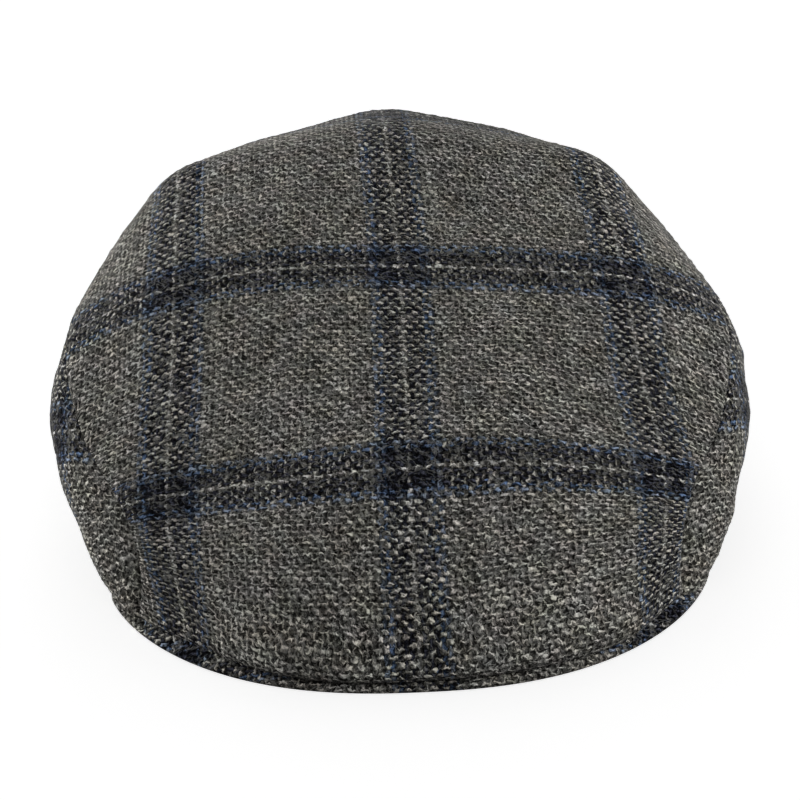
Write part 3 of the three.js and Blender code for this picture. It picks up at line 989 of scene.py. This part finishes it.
def tweed_material():
    material = bpy.data.materials.new("checked_tweed")
    material.use_nodes = True
    tree = material.node_tree
    tree.nodes.clear()
    g = Graph(tree)
    cloth = g.node("ShaderNodeAttribute", attribute_name="cloth").outputs["Vector"]
    flat = g.parts(cloth)

    # Which yarn shows, and where in it.
    fray = g.parts(g.noise(cloth, FRAY_SCALE, 3).outputs["Color"])
    place = yarn_places(g, cloth, flat, fray)
    index = [g.math("FLOOR", at) for at in place]
    within = [g.math("SUBTRACT", g.math("SUBTRACT", at, whole), 0.5) for at, whole in zip(place, index)]
    is_weft, height = yarn_on_top(g, index, within)

    # Its colour, and that of the yarn below it.
    colours = yarn_colours(g, index, fray[2])
    below = g.mix("RGBA", is_weft, *colours[::-1])
    hues = g.parts(g.noise(cloth, HUE_SCALE, 2).outputs["Color"])
    hue = g.vector(g.about_one(hues[0], RED_CHANGE), 1, g.about_one(hues[1], BLUE_CHANGE))
    yarn = g.mix("RGBA", 1.0, g.mix("RGBA", is_weft, *colours), hue, blend="MULTIPLY")

    # Its tone: bright strands, chance from crossing to crossing, unevenness of the whole cloth, and painted
    # shade in the low places between the yarns and on the warp's crossings.
    chances = g.chance(g.vector(*index, is_weft))
    strands, ply = crossing_strands(g, within, chances, is_weft)
    from_step = distance_from_steps(g, place)
    ply = g.math("MAXIMUM", ply, g.spread(from_step, *PLY_BY_STEP, smooth=True))
    tone = g.spread(strands, *STRAND_TONE, smooth=True)
    tone = g.math("MULTIPLY_ADD", ply, g.spread(strands, *PLY_TONE), tone)
    factors = [
        g.spread(g.math("POWER", chances[1], 2), *BRIGHT_CROSSING_TONE),
        g.spread(chances[0], *DULL_CROSSING_TONE),
    ]
    for scale, detail, strength in MOTTLES:
        factors.append(g.about_one(g.noise(cloth, scale, detail).outputs[0], strength))
    factors += [
        g.spread(yarn_streaks(g, flat, index, is_weft), *STREAK_TONE),
        # Painted shade in the low places of the weave
        g.spread(height, *PAINTED_GAP_SHADE, smooth=True),
        g.spread(from_step, *STEP_TONE),
        # Painted shade on the warp's crossings
        g.spread(is_weft, 0, 1, WARP_PAINTED_SHADE, WEFT_TONE),
    ]
    for factor in factors:
        tone = g.math("MULTIPLY", tone, factor)

    # Dark yarns below dull it, and the brightest strands are held back.
    warp_ends = (DULL_WARP_OVER_DARK, BRIGHT_WARP_OVER_DARK)
    warp_over_dark = g.spread(tone, DULL_STRAND, BRIGHT_STRAND, *warp_ends, smooth=True)
    over_dark = g.mix("FLOAT", is_weft, warp_over_dark, WEFT_OVER_DARK)
    tone = g.math("MULTIPLY", tone, g.spread(below, DARK_BELOW, LIGHT_BELOW, over_dark, 1))
    tone = g.math("SMOOTH_MIN", tone, TONE_LIMIT, TONE_LIMIT_SOFTNESS)
    loose = loose_fibres(g, flat)
    colour = g.mix("RGBA", 1.0, yarn, tone, blend="MULTIPLY")
    colour = g.mix("RGBA", loose, colour, (*LOOSE_FIBRE, 1))

    relief = g.math("MULTIPLY_ADD", strands, STRAND_RELIEF, height)
    relief = g.math("MULTIPLY_ADD", loose, LOOSE_RELIEF, relief)
    bump = g.node("ShaderNodeBump")
    bump.inputs["Strength"].default_value = 1.0
    bump.inputs["Distance"].default_value = WEAVE_RELIEF * MM
    g.feed(bump.inputs["Height"], relief)
    shader = g.node("ShaderNodeBsdfPrincipled")
    set_surface(shader, TWEED_SURFACE)
    facing = g.node("ShaderNodeLayerWeight").outputs["Facing"]
    g.feed(shader.inputs["Sheen Weight"], g.spread(facing, *SHEEN_BY_FACING))
    g.feed(shader.inputs["Base Color"], colour)
    g.feed(shader.inputs["Normal"], bump.outputs[0])
    result = g.node("ShaderNodeOutputMaterial")
    g.feed(result.inputs["Surface"], shader.outputs[0])
    return material


# Camera, from the photograph: millimetres, degrees, and the focal length in widths of the image
CAMERA_TARGET = (0.05, -10.84, 26.38)
CAMERA_AZIMUTH = -2.14
CAMERA_ELEVATION = 32.1
CAMERA_DISTANCE = 732.8
CAMERA_ROLL = 1.06
CAMERA_FOCAL_SHARE = 2166 / 800
CAMERA_NEAR = 10.0
SENSOR_WIDTH = 36.0

# Studio: metres, and the surround's height range and strengths
FLOOR_REACH = 40.0
LIGHT_TARGET = (0, 0, 0.03)
SURROUND_BY_HEIGHT = (-0.3, 0.9, 0.185, 0.195)

# Softboxes: name, place, width, watts, what it lights
SOFTBOXES = (
    ("back_softbox", (0, 1.4, 0.8), 1.0, 5, "ground"),
    ("overhead_softbox", (0, 0.4, 1.3), 0.6, 0.4, "cap"),
    ("front_softbox", (0.95, -0.75, 0.9), 0.6, 13.2, "cap"),
    ("left_softbox", (-1.43, 0.42, 0.11), 0.6, 61, "cap"),
    ("right_softbox", (1.3, 0, 0.75), 0.8, 18, "cap"),
)


def add_camera():
    """Camera that sees the cap as the photograph does."""
    azimuth, elevation, roll = np.radians([CAMERA_AZIMUTH, CAMERA_ELEVATION, CAMERA_ROLL])
    forward = np.array([
        -np.sin(azimuth) * np.cos(elevation),
        np.cos(azimuth) * np.cos(elevation),
        -np.sin(elevation),
    ])
    level = np.array([np.cos(azimuth), np.sin(azimuth), 0])
    upward = np.cross(level, forward)
    eye = np.array(CAMERA_TARGET) - forward * CAMERA_DISTANCE
    data = bpy.data.cameras.new("photo_camera")
    data.sensor_fit = "HORIZONTAL"
    data.sensor_width = SENSOR_WIDTH
    data.lens = SENSOR_WIDTH * CAMERA_FOCAL_SHARE
    data.clip_start = CAMERA_NEAR * MM
    camera = bpy.data.objects.new("photo_camera", data)
    axes = np.stack([
        np.cos(roll) * level - np.sin(roll) * upward,
        np.sin(roll) * level + np.cos(roll) * upward,
        -forward,
    ], 1)
    placed = np.eye(4)
    placed[:3, :3] = axes
    placed[:3, 3] = eye * MM
    camera.matrix_world = Matrix(placed.tolist())
    bpy.context.scene.collection.objects.link(camera)
    bpy.context.scene.camera = camera


def add_light(name, place, size, power, receivers):
    """Round softbox that faces the cap and lights only its receivers."""
    data = bpy.data.lights.new(name, "AREA")
    data.shape = "DISK"
    data.size = size
    data.energy = power
    light = bpy.data.objects.new(name, data)
    light.location = place
    light.rotation_mode = "QUATERNION"
    light.rotation_quaternion = (Vector(LIGHT_TARGET) - Vector(place)).to_track_quat("-Z", "Y")
    light.light_linking.receiver_collection = receivers
    bpy.context.scene.collection.objects.link(light)


def light_group(name, members):
    """Collection of what a light may fall on."""
    group = bpy.data.collections.new(name)
    for member in members:
        group.objects.link(member)
    return group


def add_floor():
    """Pale lit floor, which doesn't light the cap from below."""
    mesh = bpy.data.meshes.new("floor")
    corners = [(x * FLOOR_REACH, y * FLOOR_REACH, 0) for x, y in ((-1, -1), (1, -1), (1, 1), (-1, 1))]
    mesh.from_pydata(corners, [], [(0, 1, 2, 3)])
    floor = bpy.data.objects.new("floor", mesh)
    bpy.context.scene.collection.objects.link(floor)
    material = bpy.data.materials.new("pale_floor")
    material.use_nodes = True
    set_surface(material.node_tree.nodes["Principled BSDF"], FLOOR_SURFACE)
    mesh.materials.append(material)
    floor.visible_diffuse = False
    return floor


def add_surround():
    """Dim light from all round, a little stronger from above."""
    world = bpy.data.worlds.new("surround")
    world.use_nodes = True
    g = Graph(world.node_tree)
    rise = g.parts(g.node("ShaderNodeTexCoord").outputs["Generated"])[2]
    background = world.node_tree.nodes["Background"]
    background.inputs["Color"].default_value = (1, 1, 1, 1)
    g.feed(background.inputs["Strength"], g.spread(rise, *SURROUND_BY_HEIGHT, smooth=True))
    bpy.context.scene.world = world


def add_studio(cap_pieces):
    """Floor, surround and softboxes."""
    floor = add_floor()
    add_surround()
    groups = {"cap": light_group("cap", cap_pieces), "ground": light_group("ground", [floor])}
    for name, place, size, power, lit in SOFTBOXES:
        add_light(name, place, size, power, groups[lit])
    bpy.context.scene.view_settings.view_transform = "Standard"


tweed = tweed_material()
pieces = crown_pieces()
pieces["peak"] = peak_piece()
for node, piece in pieces.items():
    # The name is taken by the part's own node, so the dressed piece says that it is the cloth.
    piece.name = node + "_cloth"
    piece.data.materials.append(tweed)
    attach(piece, "root")
    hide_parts(node)

add_camera()
add_studio(pieces.values())
